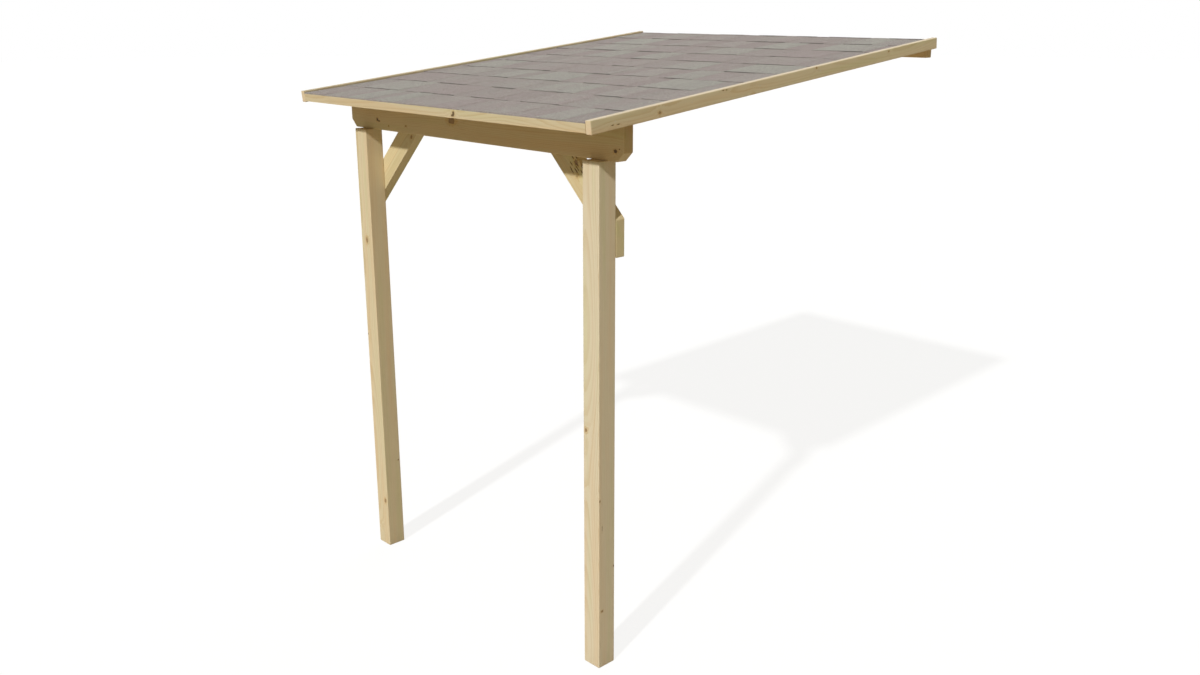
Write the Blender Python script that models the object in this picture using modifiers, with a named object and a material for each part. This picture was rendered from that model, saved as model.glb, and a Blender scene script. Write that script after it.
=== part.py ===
"""Side canopy: a small lean-to roof on two timber posts, carried at the back by a ledger on a wall.

Metres, +Z up. X runs along the eave, +Y points at the wall, and the origin is the middle of the
ledger's back face. Heights below are counted from the ground, at the feet of the posts.
"""

import math

import bmesh
import bpy

# Clearance between pieces that touch
GAP = 0.0003

# Posts
POST_SIDE = 0.090
POST_LENGTH = 2.150
POSTS_OVERALL = 1.665
POST_FRONT_TO_WALL = 2.095

# Front beam, flush with the backs of the posts
BEAM_THICKNESS = 0.048
BEAM_HEIGHT = 0.145
BEAM_END_OVERHANG = 0.090
BEAM_CORNER_CUT = 0.036

# Knee braces, lapped on the backs of the posts and the beam; the drop is from beam to brace foot
BRACE_WIDTH = 0.106
BRACE_THICKNESS = 0.048
BRACE_DROP = 0.380
BRACE_ANGLE = math.radians(45.0)

# Roof plane
ROOF_SLOPE = math.radians(5.95)
DECK_OVER_BEAM = 0.024
EAVE_OVERHANG = 0.183
VERGE_OVERHANG = 0.151
WALL_CLEARANCE = 0.004

# Ledger on the wall
LEDGER_THICKNESS = 0.048
LEDGER_HEIGHT = 0.064

# Rafters
RAFTER_COUNT = 4
RAFTER_WIDTH = 0.048
RAFTER_DEPTH = 0.060
RAFTER_TAIL_DEPTH = 0.015
RAFTER_SLOT_PLAY = 0.0005

# Tongued and grooved deck boards
DECK_THICKNESS = 0.019
DECK_BOARD_COVER = 0.113
DECK_JOINT_BEVEL = 0.002
TONGUE_THICKNESS = 0.006
TONGUE_LENGTH = 0.005

# Boards round the edge of the roof
FASCIA_THICKNESS = 0.019
FASCIA_HEIGHT = 0.034
VERGE_THICKNESS = 0.028
VERGE_HEIGHT = 0.051
VERGE_UPSTAND = 0.009

# Shingles, laid in courses that step up at each lower edge
ROOFING_THICKNESS = 0.003
SHINGLE_STEP = 0.0025
COURSE_EXPOSURE = 0.2265

# Rounding of sawn and planed edges
ARRIS = 0.003
ARRIS_SEGMENTS = 2

# Places that follow from the sizes, with heights from the ground
POST_CENTRE_X = (POSTS_OVERALL - POST_SIDE) / 2
POST_FRONT_Y = -POST_FRONT_TO_WALL
POST_BACK_Y = POST_FRONT_Y + POST_SIDE
BEAM_BACK_Y = POST_BACK_Y
BEAM_FRONT_Y = BEAM_BACK_Y - BEAM_THICKNESS
BEAM_BOTTOM = POST_LENGTH + GAP
BEAM_TOP = BEAM_BOTTOM + BEAM_HEIGHT
BEAM_MIDDLE_Y = (BEAM_FRONT_Y + BEAM_BACK_Y) / 2
DECK_UNDERSIDE_AT_WALL = BEAM_TOP + DECK_OVER_BEAM - BEAM_MIDDLE_Y * math.tan(ROOF_SLOPE)
ROOF_HALF_WIDTH = POSTS_OVERALL / 2 + VERGE_OVERHANG
DECK_HALF_WIDTH = ROOF_HALF_WIDTH - VERGE_THICKNESS - GAP
EAVE_RUN = -(POST_FRONT_TO_WALL + EAVE_OVERHANG) / math.cos(ROOF_SLOPE)
WALL_RUN = -WALL_CLEARANCE / math.cos(ROOF_SLOPE)
ORIGIN_HEIGHT = DECK_UNDERSIDE_AT_WALL - LEDGER_HEIGHT / 2

# Turns that stand an outline drawn in XY up in the XZ plane or the YZ plane
FACING_FRONT = (math.pi / 2, 0.0, 0.0)
FACING_SIDE = (math.pi / 2, 0.0, math.pi / 2)

# Finishes: colour, roughness and metallic value
POST_TIMBER = ((0.71, 0.56, 0.35), 0.65, 0.0)
BEAM_TIMBER = ((0.62, 0.47, 0.28), 0.68, 0.0)
BRACE_TIMBER = ((0.68, 0.53, 0.33), 0.67, 0.0)
EDGE_TIMBER = ((0.70, 0.54, 0.33), 0.66, 0.0)
ROUGH_TIMBER = ((0.60, 0.46, 0.29), 0.75, 0.0)
SHINGLE_GREY = ((0.30, 0.28, 0.27), 0.92, 0.0)


def clear_scene():
    for old in list(bpy.data.objects):
        bpy.data.objects.remove(old, do_unlink=True)


def make_collection(name):
    collection = bpy.data.collections.new(name)
    bpy.context.scene.collection.children.link(collection)
    return collection


def make_material(name, finish):
    """A Principled BSDF material with the finish's colour, roughness and metallic value."""
    colour, roughness, metallic = finish
    material = bpy.data.materials.new(name)
    material.use_nodes = True
    shader = material.node_tree.nodes["Principled BSDF"]
    shader.inputs["Base Color"].default_value = (*colour, 1.0)
    shader.inputs["Roughness"].default_value = roughness
    shader.inputs["Metallic"].default_value = metallic
    material.diffuse_color = (*colour, 1.0)
    return material


def make_frame(collection, name, parent, place, turn):
    """An empty that carries the pieces placed in its frame."""
    frame = bpy.data.objects.new(name, None)
    collection.objects.link(frame)
    frame.parent = parent
    frame.location = place
    frame.rotation_euler = turn
    return frame


def finish_piece(collection, name, mesh, parent, place, turn, material):
    """Put a finished mesh in the scene as one named piece."""
    mesh.materials.append(material)
    piece = bpy.data.objects.new(name, mesh)
    collection.objects.link(piece)
    piece.parent = parent
    piece.location = place
    piece.rotation_euler = turn
    return piece


def round_edges(piece):
    """Take the sharp arrises off a piece of timber."""
    bevel = piece.modifiers.new("arris", "BEVEL")
    bevel.width = ARRIS
    bevel.segments = ARRIS_SEGMENTS
    bevel.limit_method = "ANGLE"


def box_mesh(name, size):
    """A box of the given size, centred on its own origin."""
    shape = bmesh.new()
    bmesh.ops.create_cube(shape, size=1.0)
    bmesh.ops.scale(shape, vec=size, verts=shape.verts)
    mesh = bpy.data.meshes.new(name)
    shape.to_mesh(mesh)
    shape.free()
    return mesh


def outline_mesh(collection, name, outline, thickness):
    """A flat outline in XY made into a slab of the given thickness, centred on its own plane."""
    curve = bpy.data.curves.new(name, "CURVE")
    curve.dimensions = "2D"
    curve.fill_mode = "BOTH"
    curve.extrude = thickness / 2
    spline = curve.splines.new("POLY")
    spline.points.add(len(outline) - 1)
    for point, (across, up) in zip(spline.points, outline):
        point.co = (across, up, 0.0, 1.0)
    spline.use_cyclic_u = True
    drawn = bpy.data.objects.new(name, curve)
    collection.objects.link(drawn)
    graph = bpy.context.evaluated_depsgraph_get()
    mesh = bpy.data.meshes.new_from_object(drawn.evaluated_get(graph))
    bpy.data.objects.remove(drawn, do_unlink=True)
    bpy.data.curves.remove(curve)
    shape = bmesh.new()
    shape.from_mesh(mesh)
    bmesh.ops.remove_doubles(shape, verts=shape.verts, dist=GAP / 10)
    bmesh.ops.recalc_face_normals(shape, faces=shape.faces)
    shape.to_mesh(mesh)
    shape.free()
    mesh.materials.clear()
    return mesh


def deck_underside(y):
    """Height of the underside of the deck at this distance in front of the wall."""
    return DECK_UNDERSIDE_AT_WALL + y * math.tan(ROOF_SLOPE)


def rafter_underside(y):
    return deck_underside(y) - (RAFTER_DEPTH + GAP) / math.cos(ROOF_SLOPE)


def roof_point(run, rise):
    """(y, height) of a point given along the slope and square to it, from the deck's underside."""
    y = run * math.cos(ROOF_SLOPE) - rise * math.sin(ROOF_SLOPE)
    height = DECK_UNDERSIDE_AT_WALL + run * math.sin(ROOF_SLOPE) + rise * math.cos(ROOF_SLOPE)
    return y, height


def rafter_places():
    """Where the rafters stand along the eave: the outer two over the posts, the rest between."""
    pitch = 2 * POST_CENTRE_X / (RAFTER_COUNT - 1)
    return [-POST_CENTRE_X + index * pitch for index in range(RAFTER_COUNT)]


def build_posts(collection, ground):
    material = make_material("post_timber", POST_TIMBER)
    size = (POST_SIDE, POST_SIDE, POST_LENGTH)
    for side, name in ((-1, "post_left"), (1, "post_right")):
        place = (side * POST_CENTRE_X, POST_FRONT_Y + POST_SIDE / 2, POST_LENGTH / 2)
        post = finish_piece(
            collection, name, box_mesh(name, size), ground, place, (0.0, 0.0, 0.0), material
        )
        round_edges(post)


def beam_outline():
    """The beam from the front, with its two lower corners cut off."""
    end = POSTS_OVERALL / 2 + BEAM_END_OVERHANG
    cut = BEAM_CORNER_CUT
    return [
        (-end, BEAM_TOP),
        (-end, BEAM_BOTTOM + cut),
        (-end + cut, BEAM_BOTTOM),
        (end - cut, BEAM_BOTTOM),
        (end, BEAM_BOTTOM + cut),
        (end, BEAM_TOP),
    ]


def cut_rafter_slots(cutters, ground, beam):
    """An open slot in the top of the beam for each rafter, a little wider than the rafter."""
    floor = rafter_underside(BEAM_BACK_Y) - GAP
    depth = BEAM_TOP - floor
    size = (RAFTER_WIDTH + 2 * RAFTER_SLOT_PLAY, 2 * BEAM_THICKNESS, 2 * depth)
    for number, x in enumerate(rafter_places(), start=1):
        name = f"slot_cutter_{number}"
        cutter = bpy.data.objects.new(name, box_mesh(name, size))
        cutters.objects.link(cutter)
        cutter.parent = ground
        cutter.location = (x, BEAM_MIDDLE_Y, floor + depth)
        cutter.hide_render = True
        cutter.display_type = "WIRE"
        slot = beam.modifiers.new(f"slot_{number}", "BOOLEAN")
        slot.operation = "DIFFERENCE"
        slot.object = cutter


def build_front_beam(collection, cutters, ground):
    mesh = outline_mesh(collection, "front_beam", beam_outline(), BEAM_THICKNESS)
    material = make_material("beam_timber", BEAM_TIMBER)
    place = (0.0, BEAM_MIDDLE_Y, 0.0)
    beam = finish_piece(collection, "front_beam", mesh, ground, place, FACING_FRONT, material)
    round_edges(beam)
    cut_rafter_slots(cutters, ground, beam)


def brace_outline(side):
    """A brace from the front: plumb foot flush with the post, level head under the rafters."""
    foot = BEAM_BOTTOM - BRACE_DROP
    shoulder = foot + BRACE_WIDTH / math.cos(BRACE_ANGLE)
    head = rafter_underside(BEAM_BACK_Y) - GAP
    spread = math.tan(BRACE_ANGLE)
    outer = POSTS_OVERALL / 2
    inward = [
        (0.0, foot),
        ((head - foot) / spread, head),
        ((head - shoulder) / spread, head),
        (0.0, shoulder),
    ]
    return [(side * (outer - run), height) for run, height in inward]


def build_knee_braces(collection, ground):
    material = make_material("brace_timber", BRACE_TIMBER)
    place = (0.0, POST_BACK_Y + GAP + BRACE_THICKNESS / 2, 0.0)
    for side, name in ((-1, "knee_brace_left"), (1, "knee_brace_right")):
        mesh = outline_mesh(collection, name, brace_outline(side), BRACE_THICKNESS)
        brace = finish_piece(collection, name, mesh, ground, place, FACING_FRONT, material)
        round_edges(brace)


def build_wall_ledger(collection, ground):
    """The ledger from the side: upright faces, and a top that follows the slope."""
    front = -LEDGER_THICKNESS
    bottom = DECK_UNDERSIDE_AT_WALL - LEDGER_HEIGHT
    under_deck = GAP / math.cos(ROOF_SLOPE)
    outline = [
        (0.0, bottom),
        (0.0, deck_underside(0.0) - under_deck),
        (front, deck_underside(front) - under_deck),
        (front, bottom),
    ]
    mesh = outline_mesh(collection, "wall_ledger", outline, 2 * DECK_HALF_WIDTH)
    material = make_material("ledger_timber", ROUGH_TIMBER)
    place = (0.0, 0.0, 0.0)
    ledger = finish_piece(collection, "wall_ledger", mesh, ground, place, FACING_SIDE, material)
    round_edges(ledger)


def rafter_outline():
    """A rafter from the side: butted on the ledger, seated on the beam, with a tapered tail."""
    butt_y = -LEDGER_THICKNESS - GAP
    under_deck = GAP / math.cos(ROOF_SLOPE)
    hook_y = BEAM_FRONT_Y - GAP
    seat = rafter_underside(BEAM_BACK_Y)
    tail_run = EAVE_RUN + FASCIA_THICKNESS + GAP
    return [
        (butt_y, deck_underside(butt_y) - under_deck),
        (butt_y, rafter_underside(butt_y)),
        (BEAM_BACK_Y, seat),
        (hook_y, seat),
        (hook_y, rafter_underside(hook_y)),
        roof_point(tail_run, -RAFTER_TAIL_DEPTH),
        roof_point(tail_run, -GAP),
    ]


def build_rafters(collection, ground):
    material = make_material("rafter_timber", ROUGH_TIMBER)
    for number, x in enumerate(rafter_places(), start=1):
        name = f"rafter_{number}"
        mesh = outline_mesh(collection, name, rafter_outline(), RAFTER_WIDTH)
        finish_piece(collection, name, mesh, ground, (x, 0.0, 0.0), FACING_SIDE, material)


def deck_board_outline(cover, first, last):
    """A deck board from its end: groove towards the eave, tongue towards the wall, beveled below."""
    front = GAP / 2
    back = cover - GAP / 2
    top = DECK_THICKNESS
    bevel = DECK_JOINT_BEVEL
    middle = DECK_THICKNESS / 2
    tongue = TONGUE_THICKNESS / 2
    groove = tongue + GAP
    outline = [(front, bevel), (front + bevel, 0.0), (back - bevel, 0.0), (back, bevel)]
    if not last:
        outline += [
            (back, middle - tongue),
            (back + TONGUE_LENGTH, middle - tongue),
            (back + TONGUE_LENGTH, middle + tongue),
            (back, middle + tongue),
        ]
    outline += [(back, top), (front, top)]
    if not first:
        outline += [
            (front, middle + groove),
            (front + TONGUE_LENGTH, middle + groove),
            (front + TONGUE_LENGTH, middle - groove),
            (front, middle - groove),
        ]
    return outline


def build_deck(collection, roof):
    """Boards laid across the rafters, from the back of the fascia up to the wall."""
    material = make_material("deck_timber", ROUGH_TIMBER)
    start = EAVE_RUN + FASCIA_THICKNESS + GAP / 2
    length = WALL_RUN + GAP / 2 - start
    count = round(length / DECK_BOARD_COVER)
    cover = length / count
    for index in range(count):
        name = f"deck_board_{index + 1:02d}"
        outline = deck_board_outline(cover, index == 0, index == count - 1)
        mesh = outline_mesh(collection, name, outline, 2 * DECK_HALF_WIDTH)
        place = (0.0, start + index * cover, 0.0)
        finish_piece(collection, name, mesh, roof, place, FACING_SIDE, material)


def build_eave_fascia(collection, roof):
    """The board across the front edge of the deck, between the verge boards."""
    material = make_material("fascia_timber", EDGE_TIMBER)
    size = (2 * DECK_HALF_WIDTH, FASCIA_THICKNESS, FASCIA_HEIGHT)
    place = (0.0, EAVE_RUN + FASCIA_THICKNESS / 2, DECK_THICKNESS - FASCIA_HEIGHT / 2)
    mesh = box_mesh("eave_fascia", size)
    finish_piece(collection, "eave_fascia", mesh, roof, place, (0.0, 0.0, 0.0), material)


def build_verge_boards(collection, roof):
    """The boards up both sides of the roof, standing a little proud of the shingles."""
    material = make_material("verge_timber", EDGE_TIMBER)
    length = WALL_RUN - EAVE_RUN
    top = DECK_THICKNESS + ROOFING_THICKNESS + VERGE_UPSTAND
    size = (VERGE_THICKNESS, length, VERGE_HEIGHT)
    for side, name in ((-1, "verge_board_left"), (1, "verge_board_right")):
        x = side * (ROOF_HALF_WIDTH - VERGE_THICKNESS / 2)
        place = (x, EAVE_RUN + length / 2, top - VERGE_HEIGHT / 2)
        board = finish_piece(
            collection, name, box_mesh(name, size), roof, place, (0.0, 0.0, 0.0), material
        )
        round_edges(board)


def roofing_outline():
    """The shingles from the side: a thin skin that steps up at the lower edge of each course."""
    bottom = DECK_THICKNESS + GAP
    low = bottom + ROOFING_THICKNESS
    outline = [(WALL_RUN, bottom), (EAVE_RUN, bottom)]
    length = WALL_RUN - EAVE_RUN
    courses = math.ceil(length / COURSE_EXPOSURE)
    for index in range(courses):
        butt = EAVE_RUN + index * COURSE_EXPOSURE
        head = butt + min(COURSE_EXPOSURE, WALL_RUN - butt)
        drop = SHINGLE_STEP * (head - butt) / COURSE_EXPOSURE
        outline += [(butt, low + SHINGLE_STEP), (head, low + SHINGLE_STEP - drop)]
    return outline


def build_roofing(collection, roof):
    width = 2 * DECK_HALF_WIDTH
    mesh = outline_mesh(collection, "shingle_roofing", roofing_outline(), width)
    material = make_material("shingle_grey", SHINGLE_GREY)
    place = (0.0, 0.0, 0.0)
    finish_piece(collection, "shingle_roofing", mesh, roof, place, FACING_SIDE, material)


def main():
    clear_scene()
    collection = make_collection("side_canopy")
    cutters = make_collection("cutters")
    ground = make_frame(
        collection, "ground_frame", None, (0.0, 0.0, -ORIGIN_HEIGHT), (0.0, 0.0, 0.0)
    )
    roof = make_frame(
        collection, "roof_frame", ground, (0.0, 0.0, DECK_UNDERSIDE_AT_WALL), (ROOF_SLOPE, 0.0, 0.0)
    )
    build_posts(collection, ground)
    build_front_beam(collection, cutters, ground)
    build_knee_braces(collection, ground)
    build_wall_ledger(collection, ground)
    build_rafters(collection, ground)
    build_deck(collection, roof)
    build_eave_fascia(collection, roof)
    build_verge_boards(collection, roof)
    build_roofing(collection, roof)


if __name__ == "__main__":
    main()
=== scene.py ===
"""Finish of a timber side canopy: planed spruce posts and roof boards under laminated shingles.

The file is laid out as an add-on: settings, one operator for each group of pieces and one for the stage,
and a panel that lists them. Metres throughout. X runs along the eave, +Y points at the wall and Z is up.
"""

import math

import bpy
import numpy as np
from bpy.props import FloatProperty, FloatVectorProperty, IntProperty, PointerProperty
from mathutils import Matrix, Vector


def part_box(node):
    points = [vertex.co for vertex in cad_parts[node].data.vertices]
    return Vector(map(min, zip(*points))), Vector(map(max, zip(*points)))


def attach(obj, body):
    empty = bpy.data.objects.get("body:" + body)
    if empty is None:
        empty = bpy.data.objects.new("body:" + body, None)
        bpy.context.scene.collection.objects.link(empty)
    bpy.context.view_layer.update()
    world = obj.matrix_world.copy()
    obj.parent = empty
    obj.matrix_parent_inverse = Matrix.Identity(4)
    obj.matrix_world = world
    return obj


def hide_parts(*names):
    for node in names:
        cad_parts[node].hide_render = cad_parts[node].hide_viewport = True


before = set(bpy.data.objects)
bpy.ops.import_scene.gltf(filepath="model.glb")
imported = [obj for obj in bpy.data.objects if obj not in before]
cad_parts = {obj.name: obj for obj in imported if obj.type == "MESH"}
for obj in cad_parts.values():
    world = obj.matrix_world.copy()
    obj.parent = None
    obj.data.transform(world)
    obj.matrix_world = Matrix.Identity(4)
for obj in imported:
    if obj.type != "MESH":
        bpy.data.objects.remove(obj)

bl_info = {
    "name": "Side canopy finish",
    "version": (1, 0, 0),
    "blender": (4, 5, 0),
    "location": "View3D > Sidebar > Canopy",
    "description": "Timber, shingle and screw finishes for a side canopy, with its stage",
    "category": "Object",
}

BODY = "root"

# Clearance between the solids, and the thickness of the deck boards
GAP = 0.0003
DECK_THICKNESS = 0.019

# Places read from the frame
FLOOR_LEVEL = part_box("post_left")[0].z
POST_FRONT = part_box("post_left")[0].y
BEAM_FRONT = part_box("front_beam")[0].y
BRACE_LOW, BRACE_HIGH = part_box("knee_brace_right")
LEDGER_LOW, LEDGER_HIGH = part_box("wall_ledger")
ROOFING_LOW, ROOFING_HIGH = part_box("shingle_roofing")
VERGE_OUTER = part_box("verge_board_right")[1].x
DECK_NAMES = sorted(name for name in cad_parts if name.startswith("deck_board"))
RAFTER_NAMES = sorted(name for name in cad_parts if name.startswith("rafter"))

# The roof's slope and the width of a deck board, from the first and the last board
DECK_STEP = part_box(DECK_NAMES[-1])[0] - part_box(DECK_NAMES[0])[0]
ROOF_SLOPE = math.atan2(DECK_STEP.z, DECK_STEP.y)
DECK_COVER = math.hypot(DECK_STEP.y, DECK_STEP.z) / (len(DECK_NAMES) - 1)

# Runs along the slope are negative towards the eave; rises are square to it, from the deck's underside
DECK_AT_WALL = LEDGER_HIGH.z + GAP / math.cos(ROOF_SLOPE)
ROOFING_BOTTOM = DECK_THICKNESS + GAP
EAVE_RUN = (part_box("eave_fascia")[0].y + DECK_THICKNESS * math.sin(ROOF_SLOPE)) / math.cos(ROOF_SLOPE)
WALL_RUN = (ROOFING_HIGH.y + ROOFING_BOTTOM * math.sin(ROOF_SLOPE)) / math.cos(ROOF_SLOPE)
ROOF_UP = Vector((0.0, -math.sin(ROOF_SLOPE), math.cos(ROOF_SLOPE)))
ROOF_DOWNHILL = Vector((0.0, -math.cos(ROOF_SLOPE), -math.sin(ROOF_SLOPE)))

ALONG_X = (1.0, 0.0, 0.0)
ALONG_SLOPE = (0.0, math.cos(ROOF_SLOPE), math.sin(ROOF_SLOPE))
TO_FRONT = (0.0, -1.0, 0.0)
TO_WALL = (0.0, 1.0, 0.0)
UPWARD = (0.0, 0.0, 1.0)
WHITE = (1.0, 1.0, 1.0)

# Half sizes that a sloping piece's box doesn't give: across its wide face, square to it and along it.
# Along a brace it is long, so that the slanted ends aren't rubbed
BRACE_HALF = (0.053, 0.024, 1.0)
VERGE_HALF = (0.0255, 0.014, 1.15)
FASCIA_HALF = (0.017, 0.0095)
RAFTER_HALF_DEPTH = 0.030

# Cell of the timber in which one knot may lie, and how near its edges a board is rubbed paler
KNOT_CELL = (0.075, 0.075, 0.34)
EDGE_REACH = 0.006

# How high and how strongly a post's foot is splashed
SPLASH_HEIGHT = 0.12
SPLASH_SHARE = 0.3

# What each trait of the timber multiplies its colour by, and the colour of a knot's rim
WARM_STREAK = (1.0, 0.93, 0.87)
COOL_STREAK = (0.93, 0.975, 0.88)
FIBRE_TINT = (0.84, 0.76, 0.64)
KNOT_HALO = (0.86, 0.72, 0.52)
HEART_RINGS = (1.7, 1.6, 1.5)
RUBBED_EDGE = (1.18, 1.17, 1.15)
SPLASHED = (0.62, 0.58, 0.52)
SAWN_END = (0.80, 0.72, 0.60)
VERGE_END = (1.12, 1.07, 1.14)
LEFT_POST = (0.965, 0.945, 0.87)
KNOT_RIM = (0.13, 0.075, 0.035)

# Seeds of the deck boards' hearts and tints, and of the right brace's flecks of grain and painted shade
DECK_SEED = 7
FLECK_SEED = 5

# How far to a side and how deep the hearts of the deck boards lie, and how their tints vary
HEART_SIDE = 0.05
HEART_DEPTH = (0.03, 0.12)
DECK_TINTS = (0.9, 1.08)

# Dark flecks round the knot of the right brace, partly grain and partly painted shade where the post and
# beam keep light from it: middle above the floor, size of the patch, how many across and up it, and each
# fleck's jitter, radii and stretch along the grain
FLECK_MIDDLE = (0.627, 2.108)
FLECK_PATCH = (0.086, 0.056)
FLECK_COUNT = 4
FLECK_JITTER = 0.006
FLECK_RADII = (0.0018, 0.0026)
FLECK_STRETCH = 5.0

# Knots of the verge boards, as run, rise and radius, and their dark flecks, as y and height
VERGE_KNOTS = ((-1.94, 0.0010, 0.0045), (-0.97, 0.0260, 0.0035), (-0.42, 0.0210, 0.0030))
VERGE_FLECKS = ((-2.1716, 2.302), (-2.1442, 2.303), (-1.573, 2.3925), (-1.553, 2.393))

# Grid of a shingle: width of a column, and its rows from the lower edge (0) to the head (1), closer
# together at the edge; then the share of its thickness left at its sides, and the rim of a strip's sides
SHINGLE_GRID = 0.025
SHINGLE_ROWS = np.linspace(0.0, 1.0, 9)[:, None] ** 1.5
RIM_LEFT = 0.12
STRIP_RIM = 0.001

# How far a shingle's lower edge wavers and its top ripples, and their waves in radians a metre
EDGE_WAVER = 0.0006
EDGE_WAVES = 31.0
RIPPLE = 0.00025
RIPPLE_WAVES = (19.0, 23.0)

# Clearances and laps of the shingles: beside the verge boards, between strips, under the next course and
# of a tab into its strip; then the strip's thickness and how much thinner a tab is at its head
SIDE_CLEARANCE = 0.0008
HALF_JOINT = 0.0006
HEAD_LAP = 0.02
TAB_SEAT = 0.0003
STRIP_THICKNESS = 0.0022
TAB_THINNING = 0.55

# Tone from grey (0) to mauve (1), shade, and how much and how often each steps across a shingle
STRIP_TONE = (0.55, 0.95)
GREY_TONE = (0.0, 0.25)
MAUVE_TONE = (0.45, 0.85)
STRIP_SHADE = 0.09
TONE_STEP, TONE_BLOCKS = 0.18, (0.07, 0.16)
SHADE_STEP, SHADE_BLOCKS = 0.06, (0.09, 0.2)
MOST_BLOCKS = 32

# Screws of a brace, outwards from the post's middle and above the brace's foot, those of the ledger,
# along X, and the nails of a verge board, from its ends
BRACE_SCREWS = ((0.012, 0.085), (-0.018, 0.165), (-0.285, 0.405), (-0.335, 0.455))
LEDGER_SCREWS = (-0.88, -0.53, 0.0, 0.53, 0.88)
LEDGER_SCREW_DROP = 0.004
NAIL_MARGIN = 0.12
NAIL_COUNT = 6

# Part of a head's height that its dome takes, and the corners round a head; then its drive: radius in
# head radii, depth in head heights and at most in head radii, and the number and size of its lobes
PLATE_DOME = 0.3
NAIL_DOME = 0.2
HEAD_SIDES = 24
DRIVE_RADIUS = 0.42
DRIVE_DEPTH = 1.2
DEEPEST_DRIVE = 0.3
DRIVE_LOBES = 6
LOBE_DEPTH = 0.14

# The fill's colour, the warm tone that the floor throws back, the pale floor that shows, and its mesh;
# then the width of the camera's sensor in millimetres
FILL_COLOUR = (1.0, 0.925, 0.71)
FLOOR_BOUNCE = (0.42, 0.35, 0.24)
FLOOR_PAINT = (0.95, 0.95, 0.95)
FLOOR_GLOW = 1.06
GLOW_SHARE = 0.8
FLOOR_DROP = 0.0005
FLOOR_SIDES = 64
FLOOR_RINGS = 12
FLOOR_START = 0.02
SENSOR_WIDTH = 36.0

# Space between nodes in the editor, a distance in knot radii at which no knot shows, and socket types
NODE_SPACING = 180.0
FAR_AWAY = 1000.0
SOCKET_KINDS = {"vector": "NodeSocketVector", "value": "NodeSocketFloat", "colour": "NodeSocketColor"}

# What settings of one kind share
COLOUR = {"subtype": "COLOR", "size": 3, "min": 0.0, "max": 1.0}
LENGTH = {"subtype": "DISTANCE", "unit": "LENGTH", "precision": 4}
TWO_LENGTHS = {"subtype": "XYZ", "unit": "LENGTH", "size": 2, "max": 1.0}
PLACE = {"subtype": "TRANSLATION", "unit": "LENGTH", "size": 3}
FOCAL_LENGTH = {"subtype": "DISTANCE_CAMERA", "unit": "CAMERA"}
DIRECTION = {"subtype": "DIRECTION", "size": 3}
ANGLE = {"subtype": "ANGLE", "unit": "ROTATION", "min": 0.0, "max": math.pi}
SHARE = {"subtype": "FACTOR", "min": 0.0, "max": 1.0}
STRENGTH = {"min": 0.0}


def setting(kind, name, description, default, **limits):
    """A setting of a kind, with the limits that are its own."""
    number = FloatVectorProperty if "size" in kind else FloatProperty
    return number(name=name, description=description, default=default, **kind, **limits)


class TimberSettings(bpy.types.PropertyGroup):
    """Colours and grain of the spruce."""

    post_colour: setting(COLOUR, "Post timber", "Pale wood of the posts", (0.715, 0.63, 0.46))
    beam_colour: setting(COLOUR, "Beam timber", "Pale wood of the front beam", (0.69, 0.57, 0.345))
    brace_colour: setting(COLOUR, "Brace timber", "Pale wood of the knee braces", (0.67, 0.578, 0.35))
    edge_colour: setting(COLOUR, "Edge boards", "Pale wood of the fascia and verge boards",
                         (0.69, 0.59, 0.39))
    sawn_colour: setting(COLOUR, "Sawn timber", "Pale wood of the ledger, rafters and deck boards",
                         (0.80, 0.65, 0.40))
    ring_colour: setting(COLOUR, "Late wood", "Tint that the late wood of a ring gives the pale wood",
                         (0.80, 0.68, 0.50))
    knot_colour: setting(COLOUR, "Knots", "Colour in the middle of a sound knot", (0.26, 0.175, 0.09))
    dead_knot_colour: setting(COLOUR, "Dead knots", "Colour of a loose, dark knot", (0.135, 0.088, 0.042))
    # Painted highlight: the paler wood that the faces looking up are mixed towards, standing in for light
    # from above
    upward_highlight_colour: setting(COLOUR, "Upward highlight wood", "Paler wood of the upward faces, a painted highlight",
                             (0.70, 0.60, 0.47))
    ring_spacing: setting(LENGTH, "Ring width", "Width of one year's growth", 0.0034, min=0.0005, max=0.02)
    knot_radius: setting(LENGTH, "Knot radius", "Radius of the largest scattered knots", 0.008,
                         min=0.001, max=0.04)
    roughness: setting(SHARE, "Roughness", "Roughness of planed wood", 0.62)


class ShingleSettings(bpy.types.PropertyGroup):
    """Courses, tabs and granules of the shingles."""

    exposure: setting(LENGTH, "Exposure", "Height of a course that shows", 0.2265, min=0.05, max=0.5)
    strip_length: setting(LENGTH, "Strip length", "Length of one shingle strip", 1.0, min=0.3, max=3.0)
    strip_step: setting(LENGTH, "Strip step", "Step at the lower edge of the lower layer", 0.0016,
                        min=0.0005, max=0.01)
    tab_width: setting(TWO_LENGTHS, "Tab width", "Narrowest and widest tab", (0.13, 0.30), min=0.02)
    tab_space: setting(TWO_LENGTHS, "Tab space", "Narrowest and widest space between two tabs",
                       (0.06, 0.20), min=0.01)
    tab_taper: setting(LENGTH, "Tab taper", "How far each side of a tab leans in towards its head", 0.012,
                       min=0.0, max=0.05)
    tab_thickness: setting(LENGTH, "Tab thickness", "Thickness of the upper layer at its lower edge",
                           0.0022, min=0.0005, max=0.01)
    tab_rim: setting(LENGTH, "Tab rim", "Width over which a tab's sides dip to the layer below", 0.0035,
                     min=0.001, max=0.02)
    grey_share: setting(SHARE, "Grey share", "Share of the tabs whose granules are mostly grey", 0.4)
    grey: setting(COLOUR, "Grey granules", "Colour of the pale grey granules", (0.43, 0.425, 0.393))
    mauve: setting(COLOUR, "Mauve granules", "Colour of the brown and mauve granules", (0.40, 0.335, 0.333))
    dark: setting(COLOUR, "Dark granules", "Colour of the darkest granules", (0.20, 0.185, 0.175))
    bitumen: setting(COLOUR, "Bitumen", "Colour of the cut edges", (0.15, 0.138, 0.13))
    granule_size: setting(LENGTH, "Granule size", "Width of a mineral granule", 0.0014,
                          min=0.0003, max=0.01)
    seed: IntProperty(name="Layout", description="Seed of the tab layout", default=11, min=0)


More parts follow.
